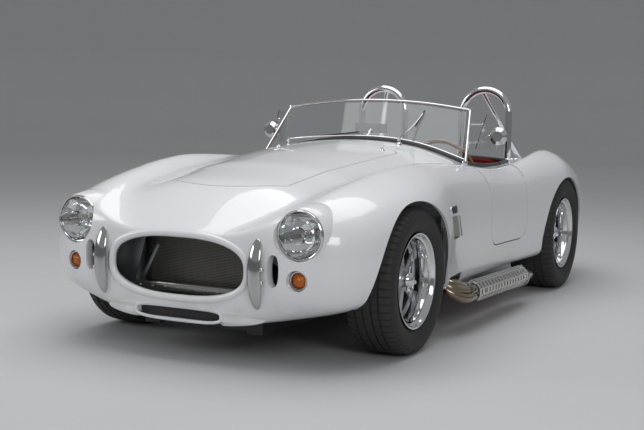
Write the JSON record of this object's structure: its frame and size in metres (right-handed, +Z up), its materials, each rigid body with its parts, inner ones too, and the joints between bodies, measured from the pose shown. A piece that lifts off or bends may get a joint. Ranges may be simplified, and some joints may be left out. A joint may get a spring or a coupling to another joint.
{
  "type": "open two-seat roadster",
  "caption": "Low open sports car with a long rounded nose, oval mouth, flared wings, roll hoops behind the seats and exhaust pipes along the sills.",
  "frame": {"origin": "on the ground under the middle of the car's length and width", "axes": "+X to the car's left, +Y to its tail, +Z up"},
  "size_m": [1.726, 3.992, 1.225],
  "materials": {
    "white_paint": "gloss",
    "chrome": "polished",
    "black_steel": "satin",
    "cast_iron": "rough",
    "radiator_black": "satin",
    "red_trim": "matt",
    "black_trim": "satin",
    "red_leather": "satin",
    "varnished_wood": "gloss",
    "clear_glass": "polished",
    "amber_glass": "polished",
    "red_glass": "polished",
    "polished_steel": "polished",
    "brushed_aluminium": "brushed",
    "tyre_rubber": "matt",
    "polished_aluminium": "polished"
  },
  "bodies": {
    "car": {"body_shell": "white_paint", "chassis_frame": "black_steel", "dashboard": "black_trim", "engine_block": "cast_iron", "front_overriders": "chrome", "front_suspension": "black_steel", "fuel_cap": "chrome", "headlamp_lenses": "clear_glass", "headlamp_rims": "chrome", "heat_shields": "polished_steel", "indicator_lenses": "amber_glass", "indicator_rims": "chrome", "radiator": "radiator_black", "rear_axle": "black_steel", "rear_overriders": "chrome", "rear_view_mirror": "chrome", "roll_hoop_left": "chrome", "roll_hoop_right": "chrome", "seat_left": "red_leather", "seat_right": "red_leather", "side_mirrors": "chrome", "side_pipe_left": "polished_steel", "side_pipe_right": "polished_steel", "side_vents": "brushed_aluminium", "steering_column": "black_steel", "tail_lamps": "red_glass", "tunnel": "red_trim", "wind_wings": "clear_glass", "windscreen_frame": "chrome", "windscreen_glass": "clear_glass"},
    "bonnet": {"bonnet": "white_paint"},
    "boot_lid": {"boot_lid": "white_paint"},
    "door_left": {"door_left": "white_paint"},
    "door_right": {"door_right": "white_paint"},
    "steering_wheel": {"steering_wheel": "varnished_wood"},
    "knuckle_front_left": {"knuckle_front_left": "cast_iron"},
    "knuckle_front_right": {"knuckle_front_right": "cast_iron"},
    "wheel_front_left": {"tyre_front_left": "tyre_rubber", "rim_front_left": "polished_aluminium"},
    "wheel_front_right": {"tyre_front_right": "tyre_rubber", "rim_front_right": "polished_aluminium"},
    "wheel_rear_left": {"tyre_rear_left": "tyre_rubber", "rim_rear_left": "polished_aluminium"},
    "wheel_rear_right": {"tyre_rear_right": "tyre_rubber", "rim_rear_right": "polished_aluminium"}
  },
  "joints": [
    {"name": "bonnet_hinge", "type": "hinge", "parent": "car", "child": "bonnet", "pos_m": [0, -1.67, 0.742], "axis": [1, 0, 0], "range_deg": [0, 60]},
    {"name": "boot_lid_hinge", "type": "hinge", "parent": "car", "child": "boot_lid", "pos_m": [0, 1.17, 0.772], "axis": [1, 0, 0], "range_deg": [0, 60]},
    {"name": "door_left_hinge", "type": "hinge", "parent": "car", "child": "door_left", "pos_m": [0.755, -0.225, 0.5], "axis": [0, 0, -1], "range_deg": [0, 62]},
    {"name": "door_right_hinge", "type": "hinge", "parent": "car", "child": "door_right", "pos_m": [-0.755, -0.225, 0.5], "axis": [0, 0, 1], "range_deg": [0, 62]},
    {"name": "steer_left", "type": "hinge", "parent": "car", "child": "knuckle_front_left", "pos_m": [0.585, -1.26, 0.327], "axis": [0, 0, 1], "range_deg": [-26, 26]},
    {"name": "steer_right", "type": "hinge", "parent": "car", "child": "knuckle_front_right", "pos_m": [-0.585, -1.26, 0.327], "axis": [0, 0, 1], "range_deg": [-26, 26]},
    {"name": "steering_wheel_turn", "type": "hinge", "parent": "car", "child": "steering_wheel", "pos_m": [0.36, 0.13, 0.725], "axis": [0, 0.9397, 0.342], "range_deg": [-420, 420]},
    {"name": "wheel_front_left_roll", "type": "hinge", "parent": "knuckle_front_left", "child": "wheel_front_left", "pos_m": [0.69, -1.26, 0.327], "axis": [1, 0, 0], "continuous": true},
    {"name": "wheel_front_right_roll", "type": "hinge", "parent": "knuckle_front_right", "child": "wheel_front_right", "pos_m": [-0.69, -1.26, 0.327], "axis": [1, 0, 0], "continuous": true},
    {"name": "wheel_rear_left_roll", "type": "hinge", "parent": "car", "child": "wheel_rear_left", "pos_m": [0.7, 1.026, 0.338], "axis": [1, 0, 0], "continuous": true},
    {"name": "wheel_rear_right_roll", "type": "hinge", "parent": "car", "child": "wheel_rear_right", "pos_m": [-0.7, 1.026, 0.338], "axis": [1, 0, 0], "continuous": true}
  ],
  "couplings": [
    {"joint": "steer_right", "follows": "steer_left", "ratio": 1},
    {"joint": "steering_wheel_turn", "follows": "steer_left", "ratio": 15}
  ]
}
